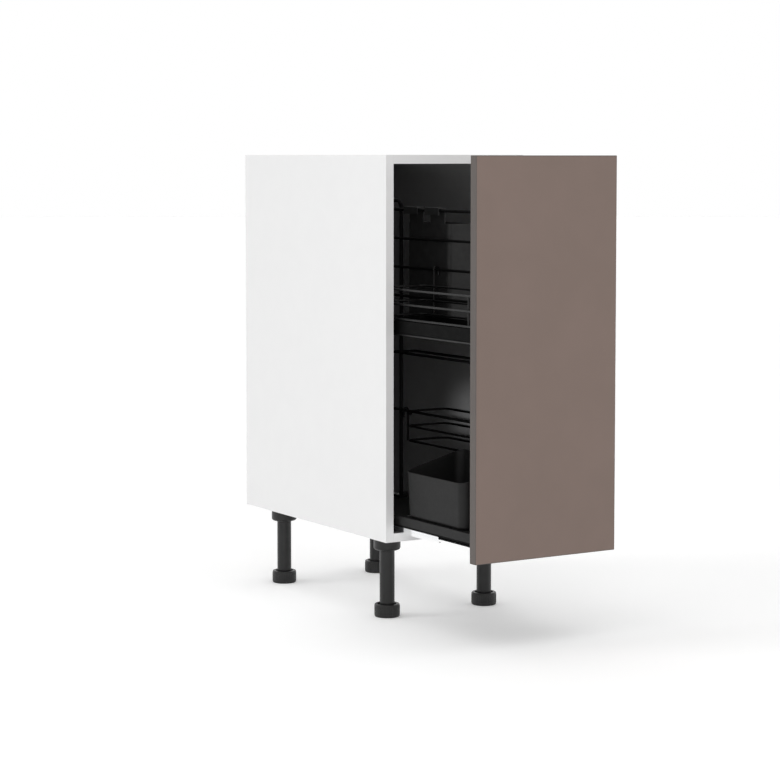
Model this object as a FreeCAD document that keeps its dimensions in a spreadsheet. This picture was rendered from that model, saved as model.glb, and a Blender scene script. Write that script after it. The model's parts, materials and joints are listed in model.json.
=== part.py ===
"""Pull-out base cabinet: a board carcass on adjustable legs, and a pull-out for cleaning things.

The pull-out rides on two telescopic runners. A wire frame stands on its base board and carries
a caddy, a bottle rail, a hanging pocket and a towel rail, and a storage box stands below them.
Frame: +Z up, the door faces -Y, the origin lies on the floor under the middle of the whole box.
Lengths are millimetres. The model stands as in use, with the pull-out part way open.
"""
import FreeCAD, Part
import os
import Sketcher
from FreeCAD import Rotation, Vector

DRIVING_DIMENSIONS = (
    # Carcass of coated board
    ("carcass_width", 300.0),
    ("carcass_height", 704.0),
    ("carcass_depth", 540.0),
    ("panel", 16.0),
    ("top_rail_depth", 100.0),
    ("back_thickness", 3.0),
    ("back_inset", 18.0),
    ("groove_depth", 8.0),
    ("groove_play", 0.1),
    ("worktop_hole", 5.0),
    ("worktop_hole_inset", 50.0),
    # Hidden corner joints of the carcass
    ("dowel_diameter", 8.0),
    ("dowel_length", 28.0),
    ("dowel_bite", 10.0),
    ("joint_inset", 16.0),
    ("cam_offset", 26.0),
    ("cam_inset", 34.0),
    ("cam_diameter", 15.0),
    ("cam_depth", 12.0),
    ("cam_bolt_diameter", 6.0),
    ("cam_bolt_bite", 10.0),
    # Adjustable legs
    ("leg_height", 150.0),
    ("leg_side_inset", 42.0),
    ("leg_front_inset", 65.0),
    ("leg_rear_inset", 80.0),
    ("socket_diameter", 50.0),
    ("socket_height", 25.0),
    ("socket_round", 5.0),
    ("spigot_diameter", 10.0),
    ("spigot_length", 8.0),
    ("tube_diameter", 28.0),
    ("tube_seat", 18.0),
    ("foot_diameter", 47.0),
    ("foot_rim", 24.0),
    ("foot_recess_diameter", 36.0),
    ("foot_recess", 4.0),
    ("foot_round", 2.0),
    ("foot_stem_diameter", 18.0),
    ("foot_stem_length", 45.0),
    ("foot_play", 0.3),
    # Telescopic runners
    ("runner_inset", 11.0),
    ("runner_width", 28.0),
    ("runner_wall", 1.5),
    ("runner_play", 0.5),
    ("runner_lip", 7.0),
    ("runner_stem", 12.0),
    ("runner_head", 2.5),
    ("runner_plate", 4.0),
    ("runner_front_inset", 1.5),
    ("runner_rear_gap", 25.0),
    ("runner_drawer_setback", 6.0),
    # Screws
    ("screw_diameter", 4.0),
    ("screw_head", 8.0),
    ("screw_head_height", 2.4),
    ("screw_bite", 7.0),
    # Door and base board
    ("pull_out_distance", 270.0),
    ("door_gap", 2.0),
    ("door_thickness", 18.0),
    ("door_top_gap", 1.0),
    ("door_bottom_gap", 4.0),
    ("door_side_gap", 1.5),
    ("door_edge_round", 1.2),
    ("base_thickness", 16.0),
    ("base_side_gap", 8.0),
    ("base_door_gap", 4.0),
    ("base_rear_gap", 9.0),
    ("base_corner", 5.0),
    # Angles that hold the door to the base board
    ("angle_thickness", 2.0),
    ("angle_width", 40.0),
    ("angle_rise", 40.0),
    ("angle_reach", 36.0),
    ("angle_side_inset", 32.0),
    ("angle_round", 6.0),
    # Wire frame in the middle plane
    ("frame_wire", 7.0),
    ("hoop_top_gap", 66.5),
    ("hoop_width", 36.0),
    ("hoop_bend", 16.0),
    ("front_hoop_inset", 12.0),
    ("rear_hoop_inset", 14.0),
    ("top_rail_drop", 20.5),
    ("top_rail_wire", 6.0),
    ("rung_wire", 5.0),
    ("lowest_rung_rise", 169.6),
    ("foot_plate_length", 54.0),
    ("foot_plate_width", 18.0),
    ("foot_plate_thickness", 3.0),
    # Clips that hold the frame to the door
    ("clip_width", 38.0),
    ("clip_height", 18.0),
    ("clip_ear", 5.0),
    ("clip_wall", 4.0),
    ("clip_play", 0.05),
    # Wire goods: caddy and bottle rail
    ("basket_wire", 4.0),
    ("basket_corner", 12.0),
    ("basket_side_gap", 10.0),
    ("hook_play", 0.5),
    ("hook_drop", 10.0),
    ("post_inset", 16.0),
    ("caddy_length", 338.0),
    ("caddy_setback", 22.0),
    ("caddy_drop", 31.0),
    ("caddy_ring_pitch", 26.5),
    ("caddy_tray_drop", 3.0),
    ("caddy_front_hanger", 52.0),
    ("caddy_rear_hanger", 31.0),
    ("tray_height", 23.5),
    ("tray_wall", 1.6),
    ("bottle_length", 330.0),
    ("bottle_width", 88.0),
    ("bottle_drop", 3.0),
    ("bottle_ring_pitch", 28.0),
    ("bottle_arm_gap", 6.0),
    ("bottle_rear_gap", 15.0),
    # Storage box
    ("box_length", 196.0),
    ("box_setback", 59.0),
    ("box_side_inset", 2.0),
    ("box_rail_gap", 1.0),
    ("box_low_rim", 82.5),
    ("box_high_rim", 115.5),
    ("box_draft", 4.0),
    ("box_corner", 18.0),
    ("box_foot_round", 6.0),
    ("box_wall", 2.2),
    ("seat_play", 0.3),
    # Hanging pocket
    ("pocket_length", 143.0),
    ("pocket_depth", 60.0),
    ("pocket_height", 206.0),
    ("pocket_drop", 24.0),
    ("pocket_rear_gap", 20.0),
    ("pocket_gap", 2.0),
    ("pocket_corner", 8.0),
    ("pocket_wall", 2.0),
    ("pocket_hook_width", 48.0),
    ("pocket_hook_inset", 14.0),
    ("pocket_hook_pitch", 74.0),
    ("pocket_hook_root", 30.0),
    ("pocket_hook_lip", 8.0),
    # Towel rail
    ("towel_reach", 38.0),
    ("towel_bend", 12.0),
    # Length by which a cut runs past the face that it opens
    ("overrun", 2.0),
)

RUNG_STEPS = (1, 2, 3, 4, 5, 7)   # rungs below the top rail, one place is left open for the towel
CADDY_RUNG = 2
TOWEL_RUNG = 5
BOTTLE_RUNG = 7
SIDES = (("left", "-1"), ("right", "1"))
RAIL_SCREW_SHARES = ("0.2", "0.5", "0.8")
ANGLE_SCREW_SHARES = ("0.25", "0.75")
UPRIGHT_SHARE = 0.9         # of an edge's length that climbs, in the upright corners of a block
SAME_PLACE_SHARE = 0.001
FLANGE_HOLE_SHARE = "0.7"   # of a flange's length, from the bend to its screws
HOOK_BEND_SHARE = "0.8"     # of the hook's radius, so that the bends leave a short flat between them
DIAGONAL_SHARE = "sqrt(0.5)"   # of a round corner's radius, along each side at the middle of its bend

TURNS = {
    "z": Rotation(),
    "-z": Rotation(Vector(1, 0, 0), 180),
    "x": Rotation(Vector(0, 1, 0), 90),
    "-x": Rotation(Vector(0, 1, 0), -90),
    "y": Rotation(Vector(1, 0, 0), -90),
    "-y": Rotation(Vector(1, 0, 0), 90),
}
SKETCH_PLANES = {
    "xy": Rotation(),
    "xz": Rotation(Vector(1, 0, 0), 90),
    "yz": Rotation(Vector(1, 1, 1), 120),
}

doc = FreeCAD.newDocument("pull_out_cabinet")
dims = doc.addObject("Spreadsheet::Sheet", "dims")
for row, (alias, size) in enumerate(DRIVING_DIMENSIONS, start=1):
    dims.set(f"A{row}", alias)
    dims.set(f"B{row}", str(size))
    dims.setAlias(f"B{row}", alias)
doc.recompute()

pieces = []


# Shared planes and levels, as expressions of the driving dimensions
reach = "(dims.carcass_depth + dims.pull_out_distance + dims.door_gap + dims.door_thickness)"
rear = f"({reach} / 2)"
front = f"({rear} - dims.carcass_depth)"
back_face = f"({rear} - dims.back_inset - dims.back_thickness)"
side = "(dims.carcass_width / 2)"
inner = f"({side} - dims.panel)"
underside = "dims.leg_height"
floor_top = "(dims.leg_height + dims.panel)"
carcass_top = "(dims.leg_height + dims.carcass_height)"
door_width = "(dims.carcass_width - 2 * dims.door_side_gap)"
door_height = "(dims.carcass_height - dims.door_top_gap - dims.door_bottom_gap)"
door_back = f"({front} - dims.pull_out_distance - dims.door_gap)"
runner_x = f"({inner} - dims.runner_inset - dims.runner_width / 2)"
runner_length = f"({back_face} - {front} - dims.runner_front_inset - dims.runner_rear_gap)"
mid_top = "(5 * dims.runner_play + 3 * dims.runner_wall + 2 * dims.runner_head)"
base_bottom = f"({floor_top} + {mid_top} + dims.runner_play + dims.runner_plate)"
base_top = f"({base_bottom} + dims.base_thickness)"
base_side = f"({inner} - dims.base_side_gap)"
base_front = f"({door_back} + dims.base_door_gap)"
base_length = f"({back_face} - {front} + dims.door_gap - dims.base_door_gap - dims.base_rear_gap)"
base_rear = f"({base_front} + {base_length})"
hoop_top = f"({carcass_top} - dims.panel - dims.hoop_top_gap)"
top_rail_z = f"({hoop_top} - dims.top_rail_drop)"
rung_pitch = f"(({top_rail_z} - {base_top} - dims.lowest_rung_rise) / {RUNG_STEPS[-1]})"
top_rail_x = "(-(dims.frame_wire + dims.top_rail_wire) / 2)"
rung_x = "(-(dims.frame_wire + dims.rung_wire) / 2)"
front_leg_y = f"({base_front} + dims.front_hoop_inset)"
rear_leg_y = f"({base_rear} - dims.rear_hoop_inset)"
hook_radius = "((dims.rung_wire + dims.basket_wire) / 2 + dims.hook_play)"
hook_bend = f"({HOOK_BEND_SHARE} * {hook_radius})"
hanger_x = f"({rung_x} - {hook_radius})"
basket_left = f"(dims.basket_side_gap + dims.basket_wire / 2 - {inner})"
caddy_right = f"({hanger_x} - dims.basket_wire)"
hook_x = f"({rung_x} + {hook_radius})"
bottle_left = f"({hook_x} + dims.bottle_arm_gap)"
seat = f"({base_top} + dims.seat_play)"


def number(expression):
    """Value of an expression of the driving dimensions."""
    return float(dims.evalExpression(expression))


def rung_z(step):
    """Height of a rung, counted in pitches below the top rail."""
    return f"({top_rail_z} - {step} * {rung_pitch})"


def place(obj, at, turn=None):
    """Bind an object's position to expressions, with a fixed turn."""
    if turn is not None:
        obj.Placement.Rotation = turn
    for axis, text in zip("xyz", at):
        obj.setExpression(f"Placement.Base.{axis}", text)
    return obj


def keep(obj, label):
    """Mark an object as a finished sub-part under its own name."""
    obj.Label = label
    pieces.append(obj)
    return obj


def box(name, size, at):
    """Block with its lowest corner at a place."""
    obj = doc.addObject("Part::Box", name)
    for prop, text in zip(("Length", "Width", "Height"), size):
        obj.setExpression(prop, text)
    return place(obj, at)


def cylinder(name, diameter, length, at, axis="z"):
    """Round bar that starts at a place and runs along an axis."""
    obj = doc.addObject("Part::Cylinder", name)
    obj.setExpression("Radius", f"({diameter}) / 2")
    obj.setExpression("Height", length)
    return place(obj, at, TURNS[axis])


def group(name, members):
    """Separate solids kept together in one sub-part."""
    obj = doc.addObject("Part::Compound", name)
    obj.Links = members
    return obj


def fuse(name, members):
    obj = doc.addObject("Part::MultiFuse", name)
    obj.Shapes = members
    return obj


def cut(name, base, tools):
    """Base with all the tools taken out of it."""
    obj = doc.addObject("Part::Cut", name)
    obj.Base = base
    obj.Tool = tools[0] if len(tools) == 1 else fuse(name + "_tools", tools)
    return obj


def origin_feature(body, role):
    return next(item for item in body.Origin.OriginFeatures if item.Role == role)


def new_body(name, at):
    return place(doc.addObject("PartDesign::Body", name), at)


def new_sketch(body, role, name, offset="0"):
    """Sketch on one of the body's own planes, moved along that plane's normal."""
    sketch = body.newObject("Sketcher::SketchObject", name)
    sketch.AttachmentSupport = [(origin_feature(body, role), "")]
    sketch.MapMode = "FlatFace"
    sketch.setExpression("AttachmentOffset.Base.z", offset)
    return sketch


def dimension(sketch, kind, geometry, point, text):
    """Tie one coordinate of a sketch point to an expression."""
    index = sketch.addConstraint(Sketcher.Constraint(kind, -1, 1, geometry, point, number(text)))
    sketch.setExpression(f"Constraints[{index}]", text)


def polygon(sketch, corners):
    """Closed outline through corners that are pairs of expressions."""
    points = [Vector(number(x), number(y), 0) for x, y in corners]
    count = len(points)
    for i in range(count):
        sketch.addGeometry(Part.LineSegment(points[i], points[(i + 1) % count]), False)
    for i in range(count):
        sketch.addConstraint(Sketcher.Constraint("Coincident", i, 2, (i + 1) % count, 1))
    for i, (x, y) in enumerate(corners):
        dimension(sketch, "DistanceX", i, 1, x)
        dimension(sketch, "DistanceY", i, 1, y)
    return sketch


def rectangle(sketch, low, high):
    return polygon(sketch, (low, (high[0], low[1]), high, (low[0], high[1])))


def circle(sketch, centre, diameter):
    radius = f"({diameter}) / 2"
    geometry = sketch.addGeometry(
        Part.Circle(Vector(number(centre[0]), number(centre[1]), 0), Vector(0, 0, 1), number(radius)), False)
    dimension(sketch, "DistanceX", geometry, 3, centre[0])
    dimension(sketch, "DistanceY", geometry, 3, centre[1])
    index = sketch.addConstraint(Sketcher.Constraint("Radius", geometry, number(radius)))
    sketch.setExpression(f"Constraints[{index}]", radius)
    return sketch


def feature(body, kind, name, sketch, **settings):
    """Sketch-based feature; text settings are bound as expressions, others are set."""
    obj = body.newObject("PartDesign::" + kind, name)
    obj.Profile = sketch
    for prop, value in settings.items():
        if isinstance(value, str):
            obj.setExpression(prop, value)
        else:
            setattr(obj, prop, value)
    doc.recompute()
    return obj


def revolve(body, name, corners):
    """Turned solid about the body's Z axis from (radius, height) corners."""
    sketch = polygon(new_sketch(body, "XZ_Plane", name + "_profile"), corners)
    return feature(body, "Revolution", name, sketch, ReferenceAxis=(sketch, ["V_Axis"]))


def edge_names(base, test):
    return [f"Edge{i}" for i, edge in enumerate(base.Shape.Edges, start=1) if test(edge)]


def fillet(body, name, base, test, radius):
    """Round the edges of a feature that pass a test."""
    obj = body.newObject("PartDesign::Fillet", name)
    obj.Base = (base, edge_names(base, test))
    obj.setExpression("Radius", radius)
    doc.recompute()
    return obj


def flared(body, name, base, angle):
    """Lean the walls of a block outward from its floor."""
    faces = list(enumerate(base.Shape.Faces, start=1))
    obj = body.newObject("PartDesign::Draft", name)
    obj.Base = (base, [f"Face{i}" for i, face in faces if abs(face.normalAt(0, 0).z) < 0.5])
    obj.NeutralPlane = (base, [f"Face{i}" for i, face in faces if face.normalAt(0, 0).z < -0.5])
    obj.setExpression("Angle", angle)
    obj.Reversed = True
    doc.recompute()
    return obj


def open_shell(body, name, base, wall):
    """Hollow a solid to a wall, open at its top face."""
    faces = base.Shape.Faces
    top = max(range(len(faces)), key=lambda i: faces[i].CenterOfMass.z)
    obj = body.newObject("PartDesign::Thickness", name)
    obj.Base = (base, [f"Face{top + 1}"])
    obj.setExpression("Value", wall)
    obj.Reversed = True
    doc.recompute()
    return obj


def is_upright(edge):
    """True for the long corner edges of a block, plumb or drafted."""
    if len(edge.Vertexes) < 2:
        return False
    run = edge.Vertexes[1].Point - edge.Vertexes[0].Point
    return abs(run.z) > UPRIGHT_SHARE * edge.Length


def lies_at(level):
    """Test for edges that lie wholly at one height."""
    height = number(level)
    tolerance = SAME_PLACE_SHARE * number("dims.overrun")
    return lambda edge: (abs(edge.BoundBox.ZMin - height) < tolerance
                         and abs(edge.BoundBox.ZMax - height) < tolerance)


def at_rim(diameter, *levels):
    """Test for the widest circles of a turned piece, at the heights given."""
    tests = [lies_at(level) for level in levels]
    reach_x = number(diameter) / 2 - SAME_PLACE_SHARE * number("dims.overrun")
    return lambda edge: edge.BoundBox.XMax > reach_x and any(test(edge) for test in tests)


def bent_path(name, plane, corners, bend, closed):
    """Sketch of straight runs along the plane's axes, joined by tangent bends."""
    sketch = doc.addObject("Sketcher::SketchObject", name)
    points = [Vector(number(x), number(y), 0) for x, y in corners]
    radius = number(bend)
    count = len(points)
    runs = count if closed else count - 1
    along = [(points[(i + 1) % count] - points[i]).normalize() for i in range(runs)]
    for i in range(runs):
        start = points[i] + along[i] * radius if closed or i > 0 else points[i]
        stop = points[(i + 1) % count] - along[i] * radius if closed or i < runs - 1 else points[i + 1]
        sketch.addGeometry(Part.LineSegment(start, stop), False)
    for i in range(runs):
        x, y = corners[i]
        flat = abs(along[i].y) < abs(along[i].x)
        sketch.addConstraint(Sketcher.Constraint("Horizontal" if flat else "Vertical", i))
        dimension(sketch, "DistanceY" if flat else "DistanceX", i, 1, y if flat else x)
    if not closed:
        for line, point, (x, y) in ((0, 1, corners[0]), (runs - 1, 2, corners[-1])):
            flat = abs(along[line].y) < abs(along[line].x)
            dimension(sketch, "DistanceX" if flat else "DistanceY", line, point, x if flat else y)
    for i in range(runs if closed else runs - 1):
        after = (i + 1) % runs
        corner = points[(i + 1) % count]
        leaving, arriving = corner - along[i] * radius, corner + along[after] * radius
        centre = leaving + along[after] * radius
        middle = centre + (corner - centre).normalize() * radius
        geometry = sketch.addGeometry(Part.Arc(leaving, middle, arriving), False)
        left_turn = along[i].cross(along[after]).z > 0
        ends = (1, 2) if left_turn else (2, 1)
        sketch.addConstraint(Sketcher.Constraint("Tangent", i, 2, geometry, ends[0]))
        sketch.addConstraint(Sketcher.Constraint("Tangent", after, 1, geometry, ends[1]))
        index = sketch.addConstraint(Sketcher.Constraint("Radius", geometry, radius))
        sketch.setExpression(f"Constraints[{index}]", bend)
    sketch.Placement.Rotation = SKETCH_PLANES[plane]
    return sketch


def bent_wire(name, plane, corners, bend, diameter, at, closed=False):
    """Round wire bent along a flat path; corners count from the place at."""
    path = place(bent_path(name + "_path", plane, corners, bend, closed), at)
    profile = doc.addObject("Part::Circle", name + "_section")
    profile.setExpression("Radius", f"({diameter}) / 2")
    (x0, y0), (x1, y1) = corners[0], corners[1]
    flat = abs(number(x1) - number(x0)) > abs(number(y1) - number(y0))
    if closed:
        x0, y0 = (f"{x0} + {bend}", y0) if flat else (x0, f"{y0} + {bend}")
    start = {"xy": (x0, y0, "0"), "xz": (x0, "0", y0), "yz": ("0", x0, y0)}[plane]
    run_axis = plane[0] if flat else plane[1]
    place(profile, [f"{origin} + {step}" for origin, step in zip(at, start)], TURNS[run_axis])
    sweep = doc.addObject("Part::Sweep", name)
    doc.recompute()
    sweep.Sections = [profile]
    sweep.Spine = (path, [f"Edge{i}" for i in range(1, len(path.Shape.Edges) + 1)])
    sweep.Solid = True
    return sweep


def screw(name, at, axis, grip):
    """Screw whose head bears at a place; returns its shank and the whole screw."""
    shank = cylinder(name + "_shank", "dims.screw_diameter", f"{grip} + dims.screw_bite", at, axis)
    outward = axis[1:] if axis.startswith("-") else "-" + axis
    head = cylinder(name + "_head", "dims.screw_head", "dims.screw_head_height", at, outward)
    return shank, fuse(name, [shank, head])


def sunk_screw(name, at, axis, grip):
    """Screw with a conical head flush at a place; returns the same shape for its hole."""
    shank = cylinder(name + "_shank", "dims.screw_diameter", f"{grip} + dims.screw_bite", at, axis)
    head = doc.addObject("Part::Cone", name + "_head")
    head.setExpression("Radius1", "dims.screw_head / 2")
    head.setExpression("Radius2", "dims.screw_diameter / 2")
    head.setExpression("Height", "min(dims.screw_head_height; dims.runner_head - dims.runner_play)")
    place(head, at, TURNS[axis])
    return fuse(name, [shank, head])


def build_carcass_joints():
    """Dowels, cam bolts and cam locks, and the holes that they need in each board."""
    holes = {"left": [], "right": [], "bottom": [], "front": [], "rear": []}
    dowels, bolts, locks = [], [], []
    levels = (("bottom", f"{underside} + dims.panel / 2", underside),
              ("top", f"{carcass_top} - dims.panel / 2", f"{carcass_top} - dims.panel"))
    ends = (("front", front, "1"), ("rear", back_face, "-1"))
    for side_name, sign in SIDES:
        inward = "x" if side_name == "left" else "-x"
        for level_name, level, bore_from in levels:
            for end_name, edge, step in ends:
                name = f"joint_{side_name}_{level_name}_{end_name}"
                board = "bottom" if level_name == "bottom" else end_name
                dowel_y = f"{edge} + {step} * dims.joint_inset"
                cam_y = f"{edge} + {step} * (dims.joint_inset + dims.cam_offset)"
                dowel = cylinder(name + "_dowel", "dims.dowel_diameter", "dims.dowel_length",
                                 (f"{sign} * ({inner} + dims.dowel_bite)", dowel_y, level), inward)
                bolt = cylinder(name + "_bolt", "dims.cam_bolt_diameter",
                                "dims.cam_bolt_bite + dims.cam_inset",
                                (f"{sign} * ({inner} + dims.cam_bolt_bite)", cam_y, level), inward)
                lock = cylinder(name + "_lock", "dims.cam_diameter", "dims.cam_depth",
                                (f"{sign} * ({inner} - dims.cam_inset)", cam_y, bore_from))
                dowels.append(dowel)
                bolts.append(bolt)
                locks.append(cut(name + "_lock_slotted", lock, [bolt]))
                holes[side_name] += [dowel, bolt]
                holes[board] += [dowel, bolt, lock]
    keep(group("dowel_set", dowels), "carcass_dowels")
    keep(group("bolt_set", bolts), "cam_bolts")
    keep(group("lock_set", locks), "cam_locks")
    return holes


def build_carcass(holes, bottom_holes):
    """Two side panels, bottom panel, two top rails and the back in its grooves."""
    groove_from = f"{back_face} - dims.groove_play"
    groove_width = "dims.back_thickness + 2 * dims.groove_play"
    groove_bottom = f"{floor_top} - dims.groove_depth"
    for side_name, sign in SIDES:
        low_x = f"-{side}" if side_name == "left" else inner
        slab = box(f"{side_name}_slab", ("dims.panel", "dims.carcass_depth", "dims.carcass_height"),
                   (low_x, front, underside))
        groove_x = (f"-{inner} - dims.groove_depth" if side_name == "left"
                    else f"{inner} - dims.overrun")
        groove = box(f"{side_name}_groove",
                     ("dims.groove_depth + dims.overrun", groove_width,
                      f"{carcass_top} - ({groove_bottom}) + dims.overrun"),
                     (groove_x, groove_from, groove_bottom))
        keep(cut(f"{side_name}_panel", slab, [groove] + holes[side_name]), f"{side_name}_side_panel")

    slab = box("bottom_slab", (f"2 * {inner}", "dims.carcass_depth", "dims.panel"),
               (f"-{inner}", front, underside))
    groove = box("bottom_groove", (f"2 * {inner}", groove_width, "dims.groove_depth + dims.overrun"),
                 (f"-{inner}", groove_from, groove_bottom))
    keep(cut("bottom_board", slab, [groove] + holes["bottom"] + bottom_holes), "bottom_panel")

    for end_name, low_y in (("front", front), ("rear", f"{back_face} - dims.top_rail_depth")):
        slab = box(f"{end_name}_rail_slab", (f"2 * {inner}", "dims.top_rail_depth", "dims.panel"),
                   (f"-{inner}", low_y, f"{carcass_top} - dims.panel"))
        drilled = [cylinder(f"{end_name}_worktop_hole_{side_name}", "dims.worktop_hole",
                            "dims.panel + 2 * dims.overrun",
                            (f"{sign} * ({inner} - dims.worktop_hole_inset)",
                             f"{low_y} + dims.top_rail_depth / 2",
                             f"{carcass_top} - dims.panel - dims.overrun"))
                   for side_name, sign in SIDES]
        keep(cut(f"{end_name}_rail", slab, drilled + holes[end_name]), f"{end_name}_top_rail")

    half_back = f"({inner} + dims.groove_depth - dims.groove_play)"
    keep(box("back_board", (f"2 * {half_back}", "dims.back_thickness",
                            f"{carcass_top} - ({groove_bottom}) - dims.groove_play"),
             (f"-{half_back}", back_face, f"{groove_bottom} + dims.groove_play")), "back_panel")


def build_legs():
    """Four legs: a socket pegged into the bottom panel, a tube and a cupped screw foot."""
    holes = []
    tube_top = f"({underside} - dims.socket_height + dims.tube_seat)"
    foot_floor = "(dims.foot_rim - dims.foot_recess)"
    tube_bottom = f"({foot_floor} + dims.foot_play)"
    bore = "(dims.foot_stem_diameter + 2 * dims.foot_play)"
    rows = (("front", f"{front} + dims.leg_front_inset"), ("rear", f"{rear} - dims.leg_rear_inset"))
    for row_name, leg_y in rows:
        for side_name, sign in SIDES:
            corner = f"{row_name}_{side_name}"
            leg_x = f"{sign} * ({side} - dims.leg_side_inset)"
            socket = new_body(f"socket_{corner}", (leg_x, leg_y, underside))
            turned = revolve(socket, f"socket_{corner}_turned", (
                ("0", "dims.spigot_length"),
                ("dims.spigot_diameter / 2", "dims.spigot_length"),
                ("dims.spigot_diameter / 2", "0"),
                ("dims.socket_diameter / 2", "0"),
                ("dims.socket_diameter / 2", "-dims.socket_height"),
                ("dims.tube_diameter / 2", "-dims.socket_height"),
                ("dims.tube_diameter / 2", "dims.tube_seat - dims.socket_height"),
                ("0", "dims.tube_seat - dims.socket_height")))
            fillet(socket, f"socket_{corner}_round", turned,
                   at_rim("dims.socket_diameter", "-dims.socket_height"), "dims.socket_round")
            keep(socket, f"leg_socket_{corner}")
            holes.append(cylinder(f"spigot_hole_{corner}", "dims.spigot_diameter", "dims.spigot_length",
                                  (leg_x, leg_y, underside)))
            tube = cylinder(f"tube_{corner}", "dims.tube_diameter", f"{tube_top} - {tube_bottom}",
                            (leg_x, leg_y, tube_bottom))
            hollow = cylinder(f"tube_bore_{corner}", bore, f"{tube_top} - {tube_bottom}",
                              (leg_x, leg_y, tube_bottom))
            keep(cut(f"tube_{corner}_bored", tube, [hollow]), f"leg_tube_{corner}")
            foot = new_body(f"foot_{corner}", (leg_x, leg_y, "0"))
            turned = revolve(foot, f"foot_{corner}_turned", (
                ("0", "0"),
                ("dims.foot_diameter / 2", "0"),
                ("dims.foot_diameter / 2", "dims.foot_rim"),
                ("dims.foot_recess_diameter / 2", "dims.foot_rim"),
                ("dims.foot_recess_diameter / 2", foot_floor),
                ("dims.foot_stem_diameter / 2", foot_floor),
                ("dims.foot_stem_diameter / 2", f"{foot_floor} + dims.foot_stem_length"),
                ("0", f"{foot_floor} + dims.foot_stem_length")))
            fillet(foot, f"foot_{corner}_round", turned,
                   at_rim("dims.foot_diameter", "0", "dims.foot_rim"), "dims.foot_round")
            keep(foot, f"leg_foot_{corner}")
    return holes


def runner_profile(sketch, member):
    """Half-and-half outline of one runner member, about the runner's middle plane."""
    half = "(dims.runner_width / 2)"
    wall_x = f"({half} - dims.runner_wall)"
    head_x = f"({wall_x} - dims.runner_play)"
    lip_x = f"({half} - dims.runner_lip)"
    stem_x = "(dims.runner_stem / 2)"
    lip_low = "dims.runner_play"
    lip_low_top = "(dims.runner_play + dims.runner_wall)"
    head_low = "(2 * dims.runner_play + dims.runner_wall)"
    head_top = f"({head_low} + dims.runner_head)"
    web_low = f"({head_top} + dims.runner_play)"
    web_top = f"({web_low} + dims.runner_wall)"
    tail_low = f"({web_top} + dims.runner_play)"
    tail_top = f"({tail_low} + dims.runner_head)"
    lip_high = f"({tail_top} + dims.runner_play)"
    plate_low = f"({mid_top} + dims.runner_play)"
    plate_top = f"({plate_low} + dims.runner_plate)"
    right = {
        "rail": ((stem_x, "0"), (stem_x, head_low), (head_x, head_low), (head_x, head_top)),
        "mid": ((lip_x, lip_low), (half, lip_low), (half, mid_top), (lip_x, mid_top),
                (lip_x, lip_high), (wall_x, lip_high), (wall_x, web_top)),
        "drawer": ((head_x, tail_low), (head_x, tail_top), (stem_x, tail_top), (stem_x, plate_low),
                   (half, plate_low), (half, plate_top)),
    }[member]
    left = tuple((f"-{x}", z) for x, z in reversed(right))
    if member == "mid":
        under = ((wall_x, web_low), (wall_x, lip_low_top), (lip_x, lip_low_top))
        under_left = tuple((f"-{x}", z) for x, z in under)
        outline = right + left + tuple(reversed(under_left)) + under
    else:
        outline = right + left
    return polygon(sketch, outline)


def build_runners():
    """Carcass rail, middle member and drawer member on each side, with their screws."""
    rail_front = f"({front} + dims.runner_front_inset)"
    starts = {"rail": rail_front, "mid": f"({rail_front} - dims.pull_out_distance / 2)",
              "drawer": f"({base_front} + dims.runner_drawer_setback)"}
    drawer_length = f"({base_length} - 2 * dims.runner_drawer_setback)"
    lengths = {"rail": runner_length, "mid": runner_length, "drawer": drawer_length}
    rail_screws, drawer_screws = [], []
    head_top = f"({floor_top} + 2 * dims.runner_play + dims.runner_wall + dims.runner_head)"
    for side_name, sign in SIDES:
        x = f"{sign} * {runner_x}"
        members = {}
        for member in ("rail", "mid", "drawer"):
            body = new_body(f"{member}_{side_name}", (x, starts[member], floor_top))
            sketch = runner_profile(new_sketch(body, "XZ_Plane", f"{member}_{side_name}_section"), member)
            feature(body, "Pad", f"{member}_{side_name}_run", sketch,
                    Length=lengths[member], Reversed=True)
            members[member] = body
        side_rail_screws, side_drawer_screws = [], []
        for share in RAIL_SCREW_SHARES:
            name = f"{side_name}_{len(side_rail_screws) + 1}"
            side_rail_screws.append(sunk_screw(
                "rail_screw_" + name, (x, f"{rail_front} + {share} * {runner_length}", head_top),
                "-z", f"({head_top} - {floor_top})"))
            side_drawer_screws.append(sunk_screw(
                "drawer_screw_" + name, (x, f"{starts['drawer']} + {share} * {drawer_length}", base_top),
                "-z", "(dims.base_thickness + dims.runner_plate - dims.screw_bite)"))
        keep(cut(f"rail_{side_name}_drilled", members["rail"], side_rail_screws),
             f"runner_rail_{side_name}")
        keep(members["mid"], f"runner_middle_{side_name}")
        keep(cut(f"drawer_{side_name}_drilled", members["drawer"], side_drawer_screws),
             f"runner_drawer_member_{side_name}")
        rail_screws += side_rail_screws
        drawer_screws += side_drawer_screws
    keep(group("rail_screw_set", rail_screws), "runner_rail_screws")
    keep(group("drawer_screw_set", drawer_screws), "runner_drawer_screws")
    return rail_screws, drawer_screws


def build_door(holes):
    """Plain slab door with softened edges, drilled for its fixings."""
    body = new_body("door_slab", (f"-{door_width} / 2", f"{door_back} - dims.door_thickness",
                                  f"{underside} + dims.door_bottom_gap"))
    sketch = rectangle(new_sketch(body, "XZ_Plane", "door_outline"),
                       ("0", "0"), (door_width, door_height))
    slab = feature(body, "Pad", "door_thickness", sketch, Length="dims.door_thickness", Reversed=True)
    fillet(body, "door_soft_edges", slab, lambda edge: True, "dims.door_edge_round")
    keep(cut("door_drilled", body, holes), "door_front")


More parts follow.
